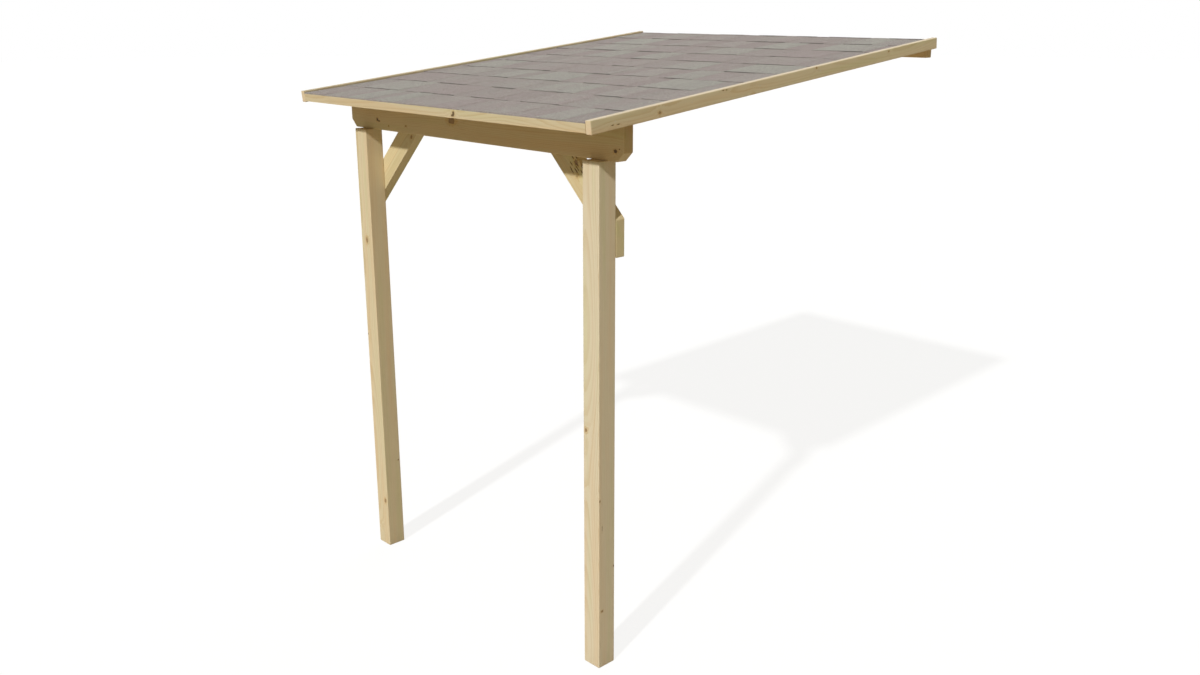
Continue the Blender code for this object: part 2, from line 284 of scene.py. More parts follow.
class FixingSettings(bpy.types.PropertyGroup):
    """Screws and nails of the canopy."""

    plate_radius: setting(LENGTH, "Plate head", "Radius of a plate-head screw", 0.0105, min=0.002, max=0.03)
    plate_height: setting(LENGTH, "Plate height", "How far a plate head stands off the timber", 0.0036,
                          min=0.0005, max=0.02)
    nail_radius: setting(LENGTH, "Nail head", "Radius of a nail's head", 0.0019, min=0.0005, max=0.01)
    nail_height: setting(LENGTH, "Nail height", "How far a nail's head stands off the timber", 0.0003,
                         min=0.0001, max=0.005)
    zinc: setting(COLOUR, "Zinc", "Colour of the zinc plating", (0.63, 0.62, 0.58))


class StageSettings(bpy.types.PropertyGroup):
    """Camera, floor and light."""

    camera_place: setting(PLACE, "Camera place", "Where the camera stands", (3.8312, -4.9808, 0.2095))
    camera_dip: setting(ANGLE, "Camera dip", "How far the camera looks down", 0.28896)
    camera_turn: setting(ANGLE, "Camera turn", "How far the camera is turned to the left", 0.80355)
    lens: setting(FOCAL_LENGTH, "Lens", "Focal length on a 36 mm wide sensor", 33.537, min=5.0, max=300.0)
    sun_direction: setting(DIRECTION, "Key light", "Direction towards the key light",
                           (0.242, -0.766, 0.596))
    sun_strength: setting(STRENGTH, "Key strength", "Strength of the key light", 2.75)
    sun_angle: setting(ANGLE, "Key softness", "Angle across the key light", math.radians(2.0))
    back_direction: setting(DIRECTION, "Back light", "Direction towards the soft light behind",
                            (-0.55, 0.80, 0.25))
    back_strength: setting(STRENGTH, "Back strength", "Strength of the light behind", 1.1)
    back_angle: setting(ANGLE, "Back softness", "Angle across the light behind", math.radians(50.0))
    fill_strength: setting(STRENGTH, "Fill strength", "Brightness of the fill from the sky", 0.27)
    floor_radius: setting(LENGTH, "Floor radius", "Radius of the floor", 60.0, min=5.0, max=500.0)


def sum_method(operation, swapped=False):
    """A method of a field that adds a Math node, with the field as its first value or its second."""
    def method(self, other):
        values = (other, self) if swapped else (self, other)
        return self.sheet.math(operation, *values)
    return method


class Field:
    """A number that varies over a surface. Sums with it add Math nodes to its sheet."""

    def __init__(self, sheet, socket):
        self.sheet = sheet
        self.socket = socket

    __add__ = sum_method("ADD")
    __radd__ = sum_method("ADD", swapped=True)
    __sub__ = sum_method("SUBTRACT")
    __rsub__ = sum_method("SUBTRACT", swapped=True)
    __mul__ = sum_method("MULTIPLY")
    __rmul__ = sum_method("MULTIPLY", swapped=True)
    __truediv__ = sum_method("DIVIDE")
    __rtruediv__ = sum_method("DIVIDE", swapped=True)
    __pow__ = sum_method("POWER")

    def __abs__(self):
        return self.sheet.math("ABSOLUTE", self)

    def ramp(self, low, high, start=0.0, end=1.0):
        """A smooth step from start to end while the field goes from low to high."""
        feeds = {"Value": self, "From Min": low, "From Max": high, "To Min": start, "To Max": end}
        node = self.sheet.add("ShaderNodeMapRange", feeds, interpolation_type="SMOOTHSTEP")
        return Field(self.sheet, node.outputs["Result"])


class Sheet:
    """A shader node tree being drawn: adds nodes from left to right and links what feeds them. Its
    place is the vector that its noise follows."""

    def __init__(self, tree):
        self.tree = tree
        self.place = None

    def add(self, kind, feeds=None, **settings):
        node = self.tree.nodes.new(kind)
        node.location.x = NODE_SPACING * len(self.tree.nodes)
        for key, value in settings.items():
            setattr(node, key, value)
        for key, value in (feeds or {}).items():
            self.feed(node.inputs[key], value)
        return node

    def feed(self, socket, value):
        """Link a field or a socket to the socket, or set its value. Colours are opaque."""
        if isinstance(value, Field):
            value = value.socket
        if isinstance(value, bpy.types.NodeSocket):
            self.tree.links.new(value, socket)
        elif socket.type == "RGBA":
            socket.default_value = (*value, 1.0)
        else:
            socket.default_value = value

    def use(self, group, feeds):
        """Place a shared group with its own values, and return its outputs."""
        return self.add("ShaderNodeGroup", feeds, node_tree=bpy.data.node_groups[group]).outputs

    def math(self, operation, *values):
        node = self.add("ShaderNodeMath", dict(enumerate(values)), operation=operation)
        return Field(self, node.outputs[0])

    def vector(self, operation, first, second):
        node = self.add("ShaderNodeVectorMath", {0: first, 1: second}, operation=operation)
        return node.outputs["Vector"]

    def length(self, vector):
        node = self.add("ShaderNodeVectorMath", {0: vector}, operation="LENGTH")
        return Field(self, node.outputs["Value"])

    def split(self, vector):
        node = self.add("ShaderNodeSeparateXYZ", {"Vector": vector})
        return [Field(self, socket) for socket in node.outputs]

    def split_colour(self, colour):
        node = self.add("ShaderNodeSeparateColor", {0: colour})
        return [Field(self, socket) for socket in node.outputs]

    def join(self, x, y, z):
        return self.add("ShaderNodeCombineXYZ", {"X": x, "Y": y, "Z": z}).outputs["Vector"]

    def noise(self, waves, detail=2.0, seed=0.0):
        """Noise with a number of waves a metre, along each axis or along all of them."""
        waves = waves if isinstance(waves, tuple) else (waves,) * 3
        scaled = self.vector("MULTIPLY", self.place, waves)
        feeds = {"Vector": scaled, "W": seed, "Scale": 1.0, "Detail": detail}
        return Field(self, self.add("ShaderNodeTexNoise", feeds, noise_dimensions="4D").outputs["Fac"])

    def mix(self, share, first, second, blend="MIX"):
        feeds = {0: share, 6: first, 7: second}
        return self.add("ShaderNodeMix", feeds, data_type="RGBA", blend_type=blend).outputs[2]

    def tint(self, colour, share, tint):
        """The colour times the tint, for a share of it."""
        return self.mix(share, colour, tint, "MULTIPLY")


def new_group(name, inputs, outputs):
    """A shader node group for a place, whose other sockets are named by kind: its sheet, and what comes
    in, by name."""
    tree = bpy.data.node_groups.new(name, "ShaderNodeTree")
    for way, sockets in (("INPUT", {"vector": ("Vector",)}), ("INPUT", inputs), ("OUTPUT", outputs)):
        for kind, labels in sockets.items():
            for label in labels:
                tree.interface.new_socket(name=label, in_out=way, socket_type=SOCKET_KINDS[kind])
    sheet = Sheet(tree)
    incoming = sheet.add("NodeGroupInput").outputs
    sheet.place = incoming["Vector"]
    fed = {label: incoming[label] for labels in inputs.values() for label in labels}
    fed.update({label: Field(sheet, incoming[label]) for label in inputs.get("value", ())})
    return sheet, fed


def draw_knot_group():
    """Distance from one knot's middle in knot radii: |(point - centre) / (1, 1, stretch)| / radius,
    times 1 plus or minus a little noise, so that the outline is ragged."""
    sheet, fed = new_group(
        "One knot", {"vector": ("Centre",), "value": ("Radius", "Stretch")}, {"value": ("Knot Distance",)})
    x, y, z = sheet.split(sheet.vector("SUBTRACT", sheet.place, fed["Centre"]))
    reach = sheet.length(sheet.join(x, y, z / fed["Stretch"]))
    ragged = sheet.noise((140.0, 140.0, 90.0)).ramp(0.25, 0.75, 0.72, 1.28)
    sheet.add("NodeGroupOutput", {"Knot Distance": reach / fed["Radius"] * ragged})


def draw_scattered_knots_group():
    """The same distance for knots strewn through the timber: one in some of the cells of a Voronoi
    diagram whose cells are long in the direction of the grain, each with its own radius."""
    sheet, fed = new_group(
        "Scattered knots", {"value": ("Radius", "Share", "Seed")}, {"value": ("Knot Distance",)})
    shift = sheet.join(fed["Seed"] * 0.37, fed["Seed"] * 0.53, fed["Seed"] * 1.91)
    moved = sheet.vector("ADD", sheet.place, shift)
    scaled = sheet.vector("DIVIDE", moved, KNOT_CELL)
    cells = sheet.add("ShaderNodeTexVoronoi", {"Vector": scaled, "Scale": 1.0})
    middle = sheet.vector("MULTIPLY", cells.outputs["Position"], KNOT_CELL)
    x, y, z = sheet.split(sheet.vector("SUBTRACT", moved, middle))
    reach = sheet.length(sheet.join(x, y, z * 0.75))
    chance = sheet.split_colour(cells.outputs["Color"])[0]
    kept = sheet.math("GREATER_THAN", chance, 1.0 - fed["Share"])
    size = fed["Radius"] * kept * (0.35 + 0.65 * (chance - (1.0 - fed["Share"])) / fed["Share"])
    ragged = sheet.noise((130.0, 130.0, 80.0)).ramp(0.25, 0.75, 0.75, 1.25)
    distance = reach / sheet.math("MAXIMUM", size, 0.00005) * ragged
    sheet.add("NodeGroupOutput", {"Knot Distance": distance})


def draw_grain_group():
    """Growth rings and fibres of a length of timber whose grain runs along Z.

    A point's ring number is its distance from the pith over the ring width. The pith wanders a little
    along the length, and the rings bow out round a knot. Late Wood rises through a ring and drops at
    its end, Fibre is fine noise drawn out along the grain, and Streak is the same at a hand's width.
    """
    sheet, fed = new_group(
        "Timber grain", {"vector": ("Pith",), "value": ("Knot Distance", "Ring Width", "Seed")},
        {"value": ("Late Wood", "Fibre", "Streak")},
    )
    seed = fed["Seed"]
    sway = sheet.noise((1.5, 1.5, 1.1), 1.0, seed) - 0.5
    drift = sheet.noise((1.5, 1.5, 0.8), 1.0, seed + 4.0) - 0.5
    x, y, _ = sheet.split(sheet.vector("SUBTRACT", sheet.place, fed["Pith"]))
    reach = sheet.length(sheet.join(x + sway * 0.05, y + drift * 0.05, 0.0))
    bow = 0.011 / (1.0 + (fed["Knot Distance"] * 0.55) ** 2.0)
    waver = (sheet.noise((45.0, 45.0, 3.5), 1.0, seed) - 0.5) * 0.35
    number = (reach + bow) / fed["Ring Width"] + waver
    year = sheet.math("FRACT", number)
    late = year.ramp(0.35, 0.9) * year.ramp(0.93, 1.0, 1.0, 0.0)
    age = sheet.math("FLOOR", number)
    luck = sheet.add("ShaderNodeTexWhiteNoise", {"W": age + seed}, noise_dimensions="1D")
    sheet.add("NodeGroupOutput", {
        "Late Wood": late * (0.45 + 0.55 * Field(sheet, luck.outputs["Value"])),
        "Fibre": sheet.noise((420.0, 420.0, 9.0), 3.0, seed),
        "Streak": sheet.noise((22.0, 22.0, 0.9), 2.0, seed + 9.0),
    })


def draw_edge_group():
    """How near a point of a board is to its edges: of its three distances to the pairs of faces the
    middle one is the distance to the nearest edge, which noise makes uneven."""
    sheet, fed = new_group(
        "Board edges", {"vector": ("Half Size",), "value": ("Reach",)}, {"value": ("Edge",)})
    unsigned = sheet.add("ShaderNodeVectorMath", {0: sheet.place}, operation="ABSOLUTE")
    x, y, z = sheet.split(sheet.vector("SUBTRACT", fed["Half Size"], unsigned.outputs["Vector"]))
    near = sheet.math("MINIMUM", x, y)
    far = sheet.math("MAXIMUM", x, y)
    distance = sheet.math("MAXIMUM", near, sheet.math("MINIMUM", far, z))
    uneven = sheet.noise(35.0, 3.0).ramp(0.3, 0.7, 0.25, 1.6)
    edge = (distance / (fed["Reach"] * uneven)).ramp(0.0, 1.0, 1.0, 0.0)
    sheet.add("NodeGroupOutput", {"Edge": edge})


def draw_timber_group():
    """Colour, roughness and relief of planed or sawn spruce, from the grain and the knots.

    The pale wood is tinted by late wood, streaks and fibres. Inside one radius a knot is brown with
    rings of its own and a dark rim, and out to three radii its wood is a little darker. A dead knot is
    dark throughout and lies a little deep. End grain has a tint of its own, edges are rubbed paler, the
    upward faces take a painted highlight and the foot is splashed. The relief is in metres.
    """
    sheet, fed = new_group(
        "Timber finish",
        {"value": ("Late Wood", "Fibre", "Streak", "Knot Distance", "Dead Distance", "End Grain",
                   "Edge", "Grime", "Upward Highlight", "Base Roughness"),
         "colour": ("Pale Wood", "Ring Tint", "Knot Colour", "Dead Colour", "Upward Highlight Wood",
                    "End Tint")},
        {"colour": ("Color",), "value": ("Roughness", "Height")},
    )
    knot = fed["Knot Distance"]
    dead = fed["Dead Distance"]
    fibre = fed["Fibre"]
    wood = sheet.tint(fed["Pale Wood"], fed["Late Wood"] * 0.5, fed["Ring Tint"])
    wood = sheet.tint(wood, fed["Streak"].ramp(0.46, 0.68, 0.0, 0.85), WARM_STREAK)
    wood = sheet.tint(wood, fed["Streak"].ramp(0.32, 0.50, 0.85, 0.0), COOL_STREAK)
    wood = sheet.tint(wood, fibre.ramp(0.45, 0.78, 0.0, 0.35), FIBRE_TINT)
    wood = sheet.tint(wood, knot.ramp(1.0, 3.0, 0.75, 0.0), KNOT_HALO)
    heart = sheet.tint(fed["Knot Colour"], sheet.math("SINE", knot * 26.0) * 0.25 + 0.5, HEART_RINGS)
    wood = sheet.mix(knot.ramp(0.88, 1.08, 1.0, 0.0), wood, heart)
    rim = knot.ramp(0.72, 0.92) * knot.ramp(0.98, 1.12, 1.0, 0.0)
    wood = sheet.mix(rim * 0.5, wood, KNOT_RIM)
    wood = sheet.tint(wood, dead.ramp(1.0, 2.4, 0.6, 0.0), KNOT_HALO)
    wood = sheet.mix(dead.ramp(0.85, 1.1, 1.0, 0.0), wood, fed["Dead Colour"])
    wood = sheet.tint(wood, fed["End Grain"] * 0.8, fed["End Tint"])
    wood = sheet.tint(wood, fed["Edge"] * 0.35, RUBBED_EDGE)
    # Painted highlight: the faces looking up are mixed towards a paler wood, standing in for light from
    # above
    wood = sheet.mix(fed["Upward Highlight"] * fibre.ramp(0.2, 0.8, 1.0, 0.7), wood, fed["Upward Highlight Wood"])
    blot = sheet.noise((14.0, 14.0, 5.0), 4.0).ramp(0.48, 0.72)
    wood = sheet.tint(wood, fed["Grime"] * (0.35 + 0.65 * blot), SPLASHED)
    rough = fed["Base Roughness"] + fibre * 0.16 - fed["Late Wood"] * 0.10
    relief = fibre * 0.00022 + fed["Late Wood"] * 0.00012 + knot.ramp(0.8, 1.2, 0.0004, 0.0)
    hollow = dead.ramp(0.75, 1.1, 0.0011, 0.0)
    check = sheet.noise((160.0, 160.0, 1.6), 1.0, 3.0).ramp(0.18, 0.245, 0.0012, 0.0)
    sheet.add("NodeGroupOutput", {
        "Color": wood, "Roughness": rough + fed["End Grain"] * 0.15 + fed["Grime"] * 0.1,
        "Height": relief - hollow - check,
    })


def draw_granule_group():
    """Mineral granules: Voronoi cells one granule wide, each grey, mauve or dark by its own chance,
    which the tone and broad noise shift. Shade darkens them. Height is a dome on each cell."""
    sheet, fed = new_group(
        "Mineral granules",
        {"value": ("Granule Size", "Tone", "Shade"), "colour": ("Grey", "Mauve", "Dark")},
        {"colour": ("Color",), "value": ("Height",)},
    )
    size = fed["Granule Size"]
    cells = sheet.add("ShaderNodeTexVoronoi", {"Vector": sheet.place, "Scale": 1.0 / size}).outputs
    first, second, third = sheet.split_colour(cells["Color"])
    cloud = sheet.noise(7.0, 4.0) - 0.5
    speck = sheet.noise(60.0, 3.0) - 0.5
    warm = (fed["Tone"] + cloud * 0.5 + speck * 0.5 + (first - 0.5) * 0.8).ramp(0.2, 0.8)
    grit = sheet.mix(warm, fed["Grey"], fed["Mauve"])
    grit = sheet.mix((second + speck * 0.6).ramp(0.74, 0.82, 0.0, 0.85), grit, fed["Dark"])
    grit = sheet.tint(grit, third.ramp(0.80, 0.88, 0.0, 0.7), (1.5, 1.5, 1.5))
    joint = Field(sheet, cells["Distance"])
    grit = sheet.mix(joint.ramp(0.45, 0.75, 0.0, 0.35), grit, fed["Dark"])
    clump = sheet.noise(150.0, 2.0).ramp(0.36, 0.64, -0.12, 0.36)
    grit = sheet.mix(fed["Shade"] + clump, grit, fed["Dark"])
    sheet.add("NodeGroupOutput", {"Color": grit, "Height": joint.ramp(0.0, 0.8, 1.0, 0.0) * size * 0.45})


def draw_zinc_group():
    """Bright zinc plating: cloudy in tone and roughness, duller where noise leaves a white bloom."""
    sheet, fed = new_group(
        "Zinc plating", {"colour": ("Plating",)}, {"colour": ("Color",), "value": ("Roughness", "Height")})
    cloud = sheet.noise(300.0, 3.0)
    bloom = sheet.noise(900.0, 2.0).ramp(0.5, 0.7)
    tone = sheet.tint(fed["Plating"], cloud.ramp(0.3, 0.7), (0.78, 0.79, 0.82))
    sheet.add("NodeGroupOutput", {
        "Color": sheet.mix(bloom * 0.4, tone, (0.7, 0.7, 0.68)),
        "Roughness": 0.3 + bloom * 0.25 + cloud * 0.1, "Height": cloud * 0.00005,
    })


def draw_groups():
    """The shader groups that the materials share, drawn once."""
    for draw in (draw_knot_group, draw_scattered_knots_group, draw_grain_group, draw_edge_group,
                 draw_timber_group, draw_granule_group, draw_zinc_group):
        draw()


def new_material(name, specular):
    """An empty material with this much specular: its sheet and its shader."""
    material = bpy.data.materials.new(name)
    material.use_nodes = True
    shader = material.node_tree.nodes["Principled BSDF"]
    shader.inputs["Specular IOR Level"].default_value = specular
    return material, Sheet(material.node_tree), shader


def finish_shader(sheet, shader, finish, relief):
    """Feed the shader with a finish, whose height in metres counts for this share of relief."""
    bump = sheet.add("ShaderNodeBump", {"Height": finish["Height"], "Strength": relief, "Distance": 1.0})
    sheet.feed(shader.inputs["Base Color"], finish["Color"])
    sheet.feed(shader.inputs["Roughness"], finish["Roughness"])
    sheet.feed(shader.inputs["Normal"], bump.outputs["Normal"])


def middle_and_half(node):
    """The middle of a node's box, and half its size along each axis."""
    low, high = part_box(node)
    return (low + high) / 2, (high - low) / 2


def grain_turn(grain, face):
    """The turn whose local Z runs along the grain and whose local Y stands square to the wide face."""
    grain = Vector(grain).normalized()
    face = Vector(face).normalized()
    return Matrix((face.cross(grain), face, grain)).transposed().to_euler()


def nearest_knot(sheet, local, places, middle, turn):
    """Distance to the nearest of the knots at the given places, each (place, radius, stretch)."""
    nearest = FAR_AWAY
    inverse = turn.to_matrix().transposed()
    for place, radius, stretch in places:
        centre = inverse @ (Vector(place) - middle)
        knot = sheet.use(
            "One knot", {"Vector": local, "Centre": centre, "Radius": radius, "Stretch": stretch})
        nearest = sheet.math("MINIMUM", nearest, knot["Knot Distance"])
    return nearest


def finish_timber(node, pale, grain, face, half, pith, seed, share, knots=(), dead=(), splashed=False,
                  tint=1.0, highlight_share=0.0, end_tint=SAWN_END):
    """Give a CAD node a spruce of its own.

    grain and face give its run and wide side, and half its half size across that face, square to it and
    along the grain. pith is the heart of the tree from the middle of the piece across its section, and
    seed sets its own grain. share is the share of the scattered knots that it has. knots and dead are
    more of them, sound and dark, as (place, radius, stretch along the grain). Where splashed, its foot
    is darker. tint scales its colour, the highlight share is how far its upward faces take a paler colour,
    a painted highlight, and end_tint is what its end grain does to its colour.
    """
    timber = bpy.context.scene.canopy_timber
    material, sheet, shader = new_material(f"{node}_spruce", specular=0.3)
    middle, _ = middle_and_half(node)
    turn = grain_turn(grain, face)
    coordinates = sheet.add("ShaderNodeTexCoord").outputs
    place, normal = coordinates["Object"], coordinates["Normal"]
    local, facing = (
        sheet.add("ShaderNodeMapping", {"Vector": vector, "Location": start, "Rotation": turn},
                  vector_type="TEXTURE").outputs["Vector"]
        for vector, start in ((place, middle), (normal, (0.0, 0.0, 0.0)))
    )
    scattered = sheet.use("Scattered knots", {
        "Vector": local, "Radius": timber.knot_radius, "Share": share, "Seed": seed})
    sound = sheet.math(
        "MINIMUM", scattered["Knot Distance"], nearest_knot(sheet, local, knots, middle, turn))
    loose = nearest_knot(sheet, local, dead, middle, turn)
    grown = sheet.use("Timber grain", {
        "Vector": local, "Knot Distance": sheet.math("MINIMUM", sound, loose), "Pith": (*pith, 0.0),
        "Ring Width": timber.ring_spacing, "Seed": seed,
    })
    edge = sheet.use("Board edges", {"Vector": local, "Half Size": half, "Reach": EDGE_REACH})
    grime = 0.0
    if splashed:
        height = sheet.split(place)[2] - FLOOR_LEVEL
        grime = height.ramp(0.0, SPLASH_HEIGHT, SPLASH_SHARE, 0.0)
    finish = sheet.use("Timber finish", {
        "Vector": local, **dict(grown.items()), "Knot Distance": sound, "Dead Distance": loose,
        "End Grain": abs(sheet.split(facing)[2]).ramp(0.75, 0.95), "Edge": edge["Edge"], "Grime": grime,
        # Painted highlight on the faces that look up, for the given share
        "Upward Highlight": sheet.split(normal)[2].ramp(0.6, 0.9, 0.0, highlight_share),
        "Pale Wood": [tint * part for part in pale], "Ring Tint": timber.ring_colour,
        "Knot Colour": timber.knot_colour, "Dead Colour": timber.dead_knot_colour,
        "Upward Highlight Wood": timber.upward_highlight_colour, "End Tint": end_tint,
        "Base Roughness": timber.roughness,
    })
    finish_shader(sheet, shader, finish, relief=0.7)
    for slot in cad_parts[node].material_slots:
        slot.material = material


def knots_at(*rows):
    """Knots as finish_timber takes them, from x, y, height above the floor, radius and stretch."""
    return [((x, y, FLOOR_LEVEL + height), radius, stretch) for x, y, height, radius, stretch in rows]


def brace_grain_and_shade_flecks(face):
    """Dark flecks on a face of the right brace, partly grain and partly painted shade near the post
    and beam, on a square grid shaken a little, as knots.
    """
    rng = np.random.default_rng(FLECK_SEED)
    spread = np.linspace(-0.5, 0.5, FLECK_COUNT)
    flecks = []
    for across in spread:
        for up in spread:
            x, height = (
                middle + share * size + rng.uniform(-FLECK_JITTER, FLECK_JITTER)
                for middle, share, size in zip(FLECK_MIDDLE, (across, up), FLECK_PATCH)
            )
            flecks.append((x, face, height, rng.uniform(*FLECK_RADII), FLECK_STRETCH))
    return knots_at(*flecks)


def roof_place(x, run, rise):
    """Points of the roof, as arrays, from runs along its slope and rises square to it: y is run times the
    slope's cosine less rise times its sine, and z the deck's height at the wall plus run times its sine
    plus rise times its cosine."""
    y = run * math.cos(ROOF_SLOPE) - rise * math.sin(ROOF_SLOPE)
    z = DECK_AT_WALL + run * math.sin(ROOF_SLOPE) + rise * math.cos(ROOF_SLOPE)
    return np.stack(np.broadcast_arrays(x, y, z), axis=-1)


def add_mesh(name, vertices, faces, material, sharp):
    """A mesh from an array of vertices and a list of faces, smooth but for edges above sharp degrees."""
    mesh = bpy.data.meshes.new(name)
    mesh.from_pydata(vertices.tolist(), [], faces)
    mesh.shade_smooth()
    mesh.set_sharp_from_angle(angle=math.radians(sharp))
    mesh.materials.append(material)
    piece = bpy.data.objects.new(name, mesh)
    bpy.context.scene.collection.objects.link(piece)
    return piece


def slab_faces(columns, rows):
    """Faces of a closed slab: a top grid of rows by columns vertices, then the same grid for its
    underside, with a wall along each of the four borders."""
    index = np.arange(rows * columns).reshape(rows, columns)
    under = index + rows * columns
    top = np.stack([index[:-1, :-1], index[:-1, 1:], index[1:, 1:], index[1:, :-1]], axis=-1)
    bottom = np.stack([under[:-1, :-1], under[1:, :-1], under[1:, 1:], under[:-1, 1:]], axis=-1)
    walls = []
    for line, below in ((index[0], under[0]), (index[:, -1], under[:, -1]),
                        (index[-1, ::-1], under[-1, ::-1]), (index[::-1, 0], under[::-1, 0])):
        walls.append(np.stack([line[:-1], below[:-1], below[1:], line[1:]], axis=-1))
    return np.concatenate([top.reshape(-1, 4), bottom.reshape(-1, 4), *walls])


def ring_faces(rows, sides):
    """Vertex numbers of rings laid one after the other, a row for each, and the faces between them,
    which face away from the axis where the rings rise along it."""
    index = np.arange(rows * sides).reshape(rows, sides)
    ahead = np.roll(index, -1, axis=1)
    return index, np.stack([index[:-1], ahead[:-1], ahead[1:], index[1:]], axis=-1).reshape(-1, 4)


def join_shapes(shapes):
    """Vertices and faces of several meshes as one."""
    starts = np.cumsum([0] + [len(points) for points, _ in shapes])
    vertices = np.concatenate([points for points, _ in shapes])
    return vertices, np.concatenate([corners + start for (_, corners), start in zip(shapes, starts)])


def shingle_slab(rng, left, right, lean, rim, butt, head, top, floor):
    """A shingle or a tab as a closed slab.

    u goes across it from left to right and v up it from its lower edge to its head. Its sides lean in by
    lean towards the head, and its lower edge wavers by a fraction of a millimetre. top and floor are the
    rises of its two faces at each row. The top has a slow ripple, and within a rim of its sides it dips
    towards the floor by a smooth step.
    """
    width = right - left
    inner = np.linspace(rim / width, 1.0 - rim / width, 2 + round(width / SHINGLE_GRID))
    half_rim = 0.5 * rim / width
    u = np.concatenate([[0.0, half_rim], inner, [1.0 - half_rim, 1.0]])[None, :]
    v = SHINGLE_ROWS
    x = (left + lean * v) * (1.0 - u) + (right - lean * v) * u
    phase = rng.uniform(0.0, 2 * math.pi, 3)
    waver = EDGE_WAVER * np.sin(EDGE_WAVES * x + phase[0]) * (1.0 - v)
    run = butt + (head - butt) * v + waver
    across, up = RIPPLE_WAVES
    ripple = RIPPLE * np.sin(across * x + phase[1]) * np.sin(up * run + phase[2])
    inward = np.clip(np.minimum(u, 1.0 - u) * width / rim, 0.0, 1.0)
    dip = RIM_LEFT + (1.0 - RIM_LEFT) * inward * inward * (3.0 - 2.0 * inward)
    upper = roof_place(x, run, floor + (top + ripple - floor) * dip)
    lower = roof_place(x, run, floor)
    vertices = np.concatenate([upper.reshape(-1, 3), lower.reshape(-1, 3)])
    return vertices, slab_faces(u.size, v.size)


def course_layout(rng, half_width, shingles):
    """Left and right edges of the tabs of one course, laid from a random start across the roof."""
    tabs = []
    x = -half_width - rng.uniform(0.0, shingles.tab_width[1])
    while x < half_width:
        width = rng.uniform(*shingles.tab_width)
        left = max(x, -half_width)
        right = min(x + width, half_width)
        if right - left > 3 * shingles.tab_taper:
            tabs.append((left, right))
        x += width + rng.uniform(*shingles.tab_space)
    return tabs


def shingle_material(shingles):
    """Granules on the faces, tinted by each tab's tone, and dark bitumen on the cut lower edges, but
    for the first course, whose edge is wrapped in granules."""
    material, sheet, shader = new_material("shingle_granules", specular=0.25)
    coordinates = sheet.add("ShaderNodeTexCoord").outputs
    sheet.place = coordinates["Object"]
    tone, shade = (
        sheet.add("ShaderNodeAttribute", attribute_name=name).outputs["Fac"] for name in ("tone", "shade")
    )
    grit = sheet.use("Mineral granules", {
        "Vector": sheet.place, "Granule Size": shingles.granule_size, "Tone": tone,
        "Shade": shade, "Grey": shingles.grey, "Mauve": shingles.mauve, "Dark": shingles.dark,
    })
    downhill = sheet.add("ShaderNodeVectorMath", {0: coordinates["Normal"], 1: ROOF_DOWNHILL},
                         operation="DOT_PRODUCT").outputs["Value"]
    above_eave = (sheet.split(sheet.place)[1] - ROOFING_LOW.y).ramp(0.05, 0.15)
    dusted = sheet.noise(9.0, 2.0).ramp(0.36, 0.6, 0.25, 1.0)
    cut = Field(sheet, downhill).ramp(0.35, 0.6) * above_eave * dusted
    finish = {
        "Color": sheet.mix(cut, grit["Color"], shingles.bitumen), "Roughness": 0.92 - cut * 0.3,
        "Height": grit["Height"],
    }
    finish_shader(sheet, shader, finish, relief=0.8)
    return material


def block_values(rng, x, middle, spread, width):
    """A value for each vertex that changes from block to block across the roof: the middle value plus a
    random step of up to the spread for every width of x."""
    steps = rng.uniform(-spread, spread, MOST_BLOCKS)
    return middle + steps[np.floor((x - x.min()) / width).astype(int) % MOST_BLOCKS]


def add_values(piece, name, values):
    """Keep a value for each vertex on the mesh, for the material to read."""
    attribute = piece.data.attributes.new(name, "FLOAT", "POINT")
    attribute.data.foreach_set("value", values.astype(np.float32))


def screw_head(radius, height, dome):
    """A round screw head with a lobed drive, as rings about its axis.

    The angle goes round the head and the rings go from the timber up its rim, over a gentle dome and down
    the wall of the drive to its floor. Inside the drive a ring's radius is its reach times 1 plus the lobe
    depth times the cosine of the angle times the number of lobes.
    """
    angle = np.linspace(0.0, 2 * math.pi, HEAD_SIDES, endpoint=False)[None, :]
    drive = radius * DRIVE_RADIUS
    depth = min(height * DRIVE_DEPTH, radius * DEEPEST_DRIVE)
    rings = (
        (radius * 0.96, -height * 0.5, 0.0),
        (radius, height * 0.15, 0.0),
        (radius * 0.985, height * 0.5, 0.0),
        (radius * 0.93, height * (1.0 - dome), 0.0),
        (radius * 0.66, height * (1.0 - dome * 0.25), 0.0),
        (drive * 1.06, height, LOBE_DEPTH),
        (drive * 0.96, height - depth * 0.2, LOBE_DEPTH),
        (drive * 0.88, height - depth, LOBE_DEPTH),
        (radius * 0.02, height - depth * 1.15, 0.0),
    )
    reach, rise, lobe = (np.array(column)[:, None] for column in zip(*rings))
    reach = reach * (1.0 + lobe * np.cos(DRIVE_LOBES * angle))
    points = np.stack([reach * np.cos(angle), reach * np.sin(angle), rise + 0.0 * angle], axis=-1)
    index, walls = ring_faces(len(rings), HEAD_SIDES)
    return points.reshape(-1, 3), [*walls.tolist(), index[0, ::-1].tolist(), index[-1].tolist()]


def set_screws(name, places, axis, radius, height, dome, material):
    """Screw heads at the given places, all facing along the axis, as one joined mesh."""
    points, faces = screw_head(radius, height, dome)
    up = Vector(axis).normalized()
    side = up.orthogonal().normalized()
    basis = np.array([side, up.cross(side), up])
    vertices = np.concatenate([points @ basis + np.array(place) for place in places])
    starts = range(0, len(vertices), len(points))
    all_faces = [[corner + start for corner in face] for start in starts for face in faces]
    piece = add_mesh(name, vertices, all_faces, material, sharp=35.0)
    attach(piece, BODY)


def zinc_material(fixings):
    """Zinc plating for the screws and nails."""
    material, sheet, shader = new_material("zinc_plating", specular=0.5)
    place = sheet.add("ShaderNodeTexCoord").outputs["Object"]
    plating = sheet.use("Zinc plating", {"Vector": place, "Plating": fixings.zinc})
    shader.inputs["Metallic"].default_value = 1.0
    finish_shader(sheet, shader, plating, relief=0.5)
    return material


